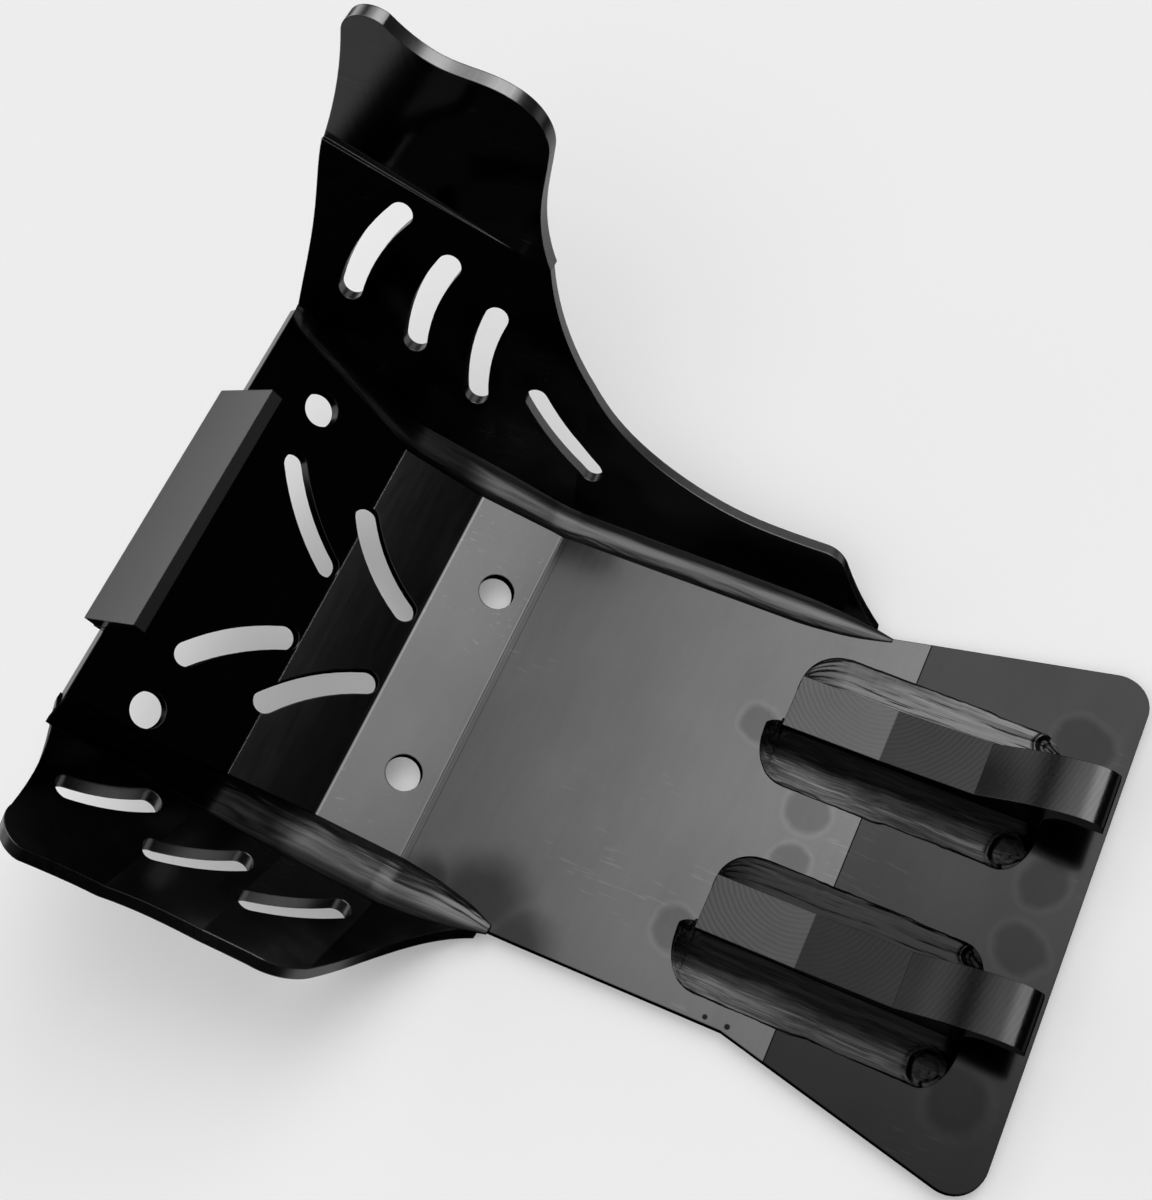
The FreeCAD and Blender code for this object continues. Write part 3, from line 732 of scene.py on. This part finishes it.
seam_bead("right_wing_weld", "right_wing", finish["right_wing_weld"], 0.5, 40.0)
seam_bead("left_wing_weld", "left_wing", finish["left_wing_weld"], 1.4, 50.0)

# Floor: pale to the camera, with a little light of its own. Other rays see it pale only in patches of painted
# light near the part: ahead,
# # in a strip on its left and beyond it on the right, and black elsewhere
FLOOR_COLOUR = 0.78
FLOOR_LIFT = 0.15
FLOOR_RADIUS = 1.5
FLOOR_DROP = 0.0003
mat, g = new_material("floor_pale")
path = g.add("ShaderNodeLightPath")
x, y = g.place()[1:]
reach = g.math("SQRT", g.math("ADD", g.times(x, x), g.times(y, y)))
left_strip = g.times(g.step(y, 0.112, 0.122), g.fall(y, 0.17, 0.20))
sides = g.math("MAXIMUM", left_strip, g.fall(y, -0.150, -0.135))
lit = g.math("MAXIMUM", g.step(x, 0.170, 0.182), g.times(sides, 0.6))
# Patches of painted light, seen only in reflections
reflected_light_patches = g.times(g.fall(reach, 0.30, 0.55), lit)
seen = g.math("MAXIMUM", reflected_light_patches, path.outputs["Is Camera Ray"])
pale = g.add("ShaderNodeBsdfDiffuse")
g.link(g.grey(g.times(seen, FLOOR_COLOUR)), pale.inputs["Color"])
lift = g.add("ShaderNodeEmission")
g.link(g.times(path.outputs["Is Camera Ray"], FLOOR_LIFT), lift.inputs["Strength"])
both = g.add("ShaderNodeAddShader")
g.link(pale.outputs[0], both.inputs[0])
g.link(lift.outputs[0], both.inputs[1])
g.link(both.outputs[0], g.out.inputs["Surface"])
bpy.ops.mesh.primitive_circle_add(
    vertices=96, radius=FLOOR_RADIUS, fill_type="NGON", location=(0, 0, -FLOOR_DROP))
floor = bpy.context.active_object
floor.name = "floor"
floor.data.materials.append(mat)
floor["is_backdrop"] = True

# Studio light: a wide soft box overhead with a sharp edge towards the rear, a strip on its left, one box
# ahead, one at the rear left, a low glow near the horizon on the right, and a faint fill all around. The
# camera itself sees a plain backdrop
TOP_STRENGTH = 3.45
SIDE_STRENGTH = 1.25
FRONT_STRENGTH = 2.4
REAR_STRENGTH = 0.9
FILL_STRENGTH = 0.02
BACKDROP = 0.85
world = bpy.data.worlds.new("studio")
scene.world = world
world.use_nodes = True
w = Graph(world.node_tree, "ShaderNodeOutputWorld")
coord = w.add("ShaderNodeTexCoord")
split = w.add("ShaderNodeSeparateXYZ")
w.link(coord.outputs["Generated"], split.inputs[0])
dx, dy, dz = split.outputs

# Direction as a place on a plane one metre overhead
rise = w.math("MAXIMUM", dz, 0.02)
gx = w.math("DIVIDE", dx, rise)
gy = w.math("DIVIDE", dy, rise)
top = w.times(w.step(gx, -0.505, -0.480), w.mix(w.step(gx, 0.06, 0.36), 1.0, 0.40), w.fall(gx, 0.55, 0.95),
              w.step(gy, -3.2, -1.5), w.mix(w.step(gy, -0.36, 0.10), 1.0, 0.26), w.fall(gy, 0.6, 1.2))
side = w.times(w.step(gx, -0.60, -0.45), w.fall(gx, 0.9, 1.3), w.step(gy, 0.16, 0.42), w.fall(gy, 1.3, 1.9))
front = w.times(w.step(dx, 0.60, 0.88), w.fall(dz, 0.35, 0.75))
rear_height = w.times(w.step(dz, 0.25, 0.35), w.fall(dz, 0.55, 0.70))
rear = w.times(w.step(dy, 0.52, 0.62), w.fall(dx, -0.50, -0.40), rear_height)
horizon = w.times(w.fall(dz, 0.08, 0.22), w.fall(dy, -0.30, 0.0))
bright = w.times(w.fall(dy, -0.97, -0.93), w.step(dz, 0.045, 0.080))
behind = w.fall(dx, -0.50, -0.40)
horizon = w.times(horizon, w.mix(bright, w.mix(behind, 0.01, 0.35), 0.80))
glow = w.math("ADD", w.times(top, TOP_STRENGTH), w.times(side, SIDE_STRENGTH))
glow = w.math("ADD", glow, w.math("ADD", w.times(front, FRONT_STRENGTH), w.times(rear, REAR_STRENGTH)))
glow = w.math("ADD", glow, horizon)
glow = w.math("ADD", glow, FILL_STRENGTH)
ray = w.add("ShaderNodeLightPath")
light = w.add("ShaderNodeBackground")
w.link(w.mix(ray.outputs["Is Camera Ray"], glow, BACKDROP), light.inputs["Strength"])
w.link(light.outputs[0], w.out.inputs["Surface"])

scene.view_settings.view_transform = "Standard"

low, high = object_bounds()
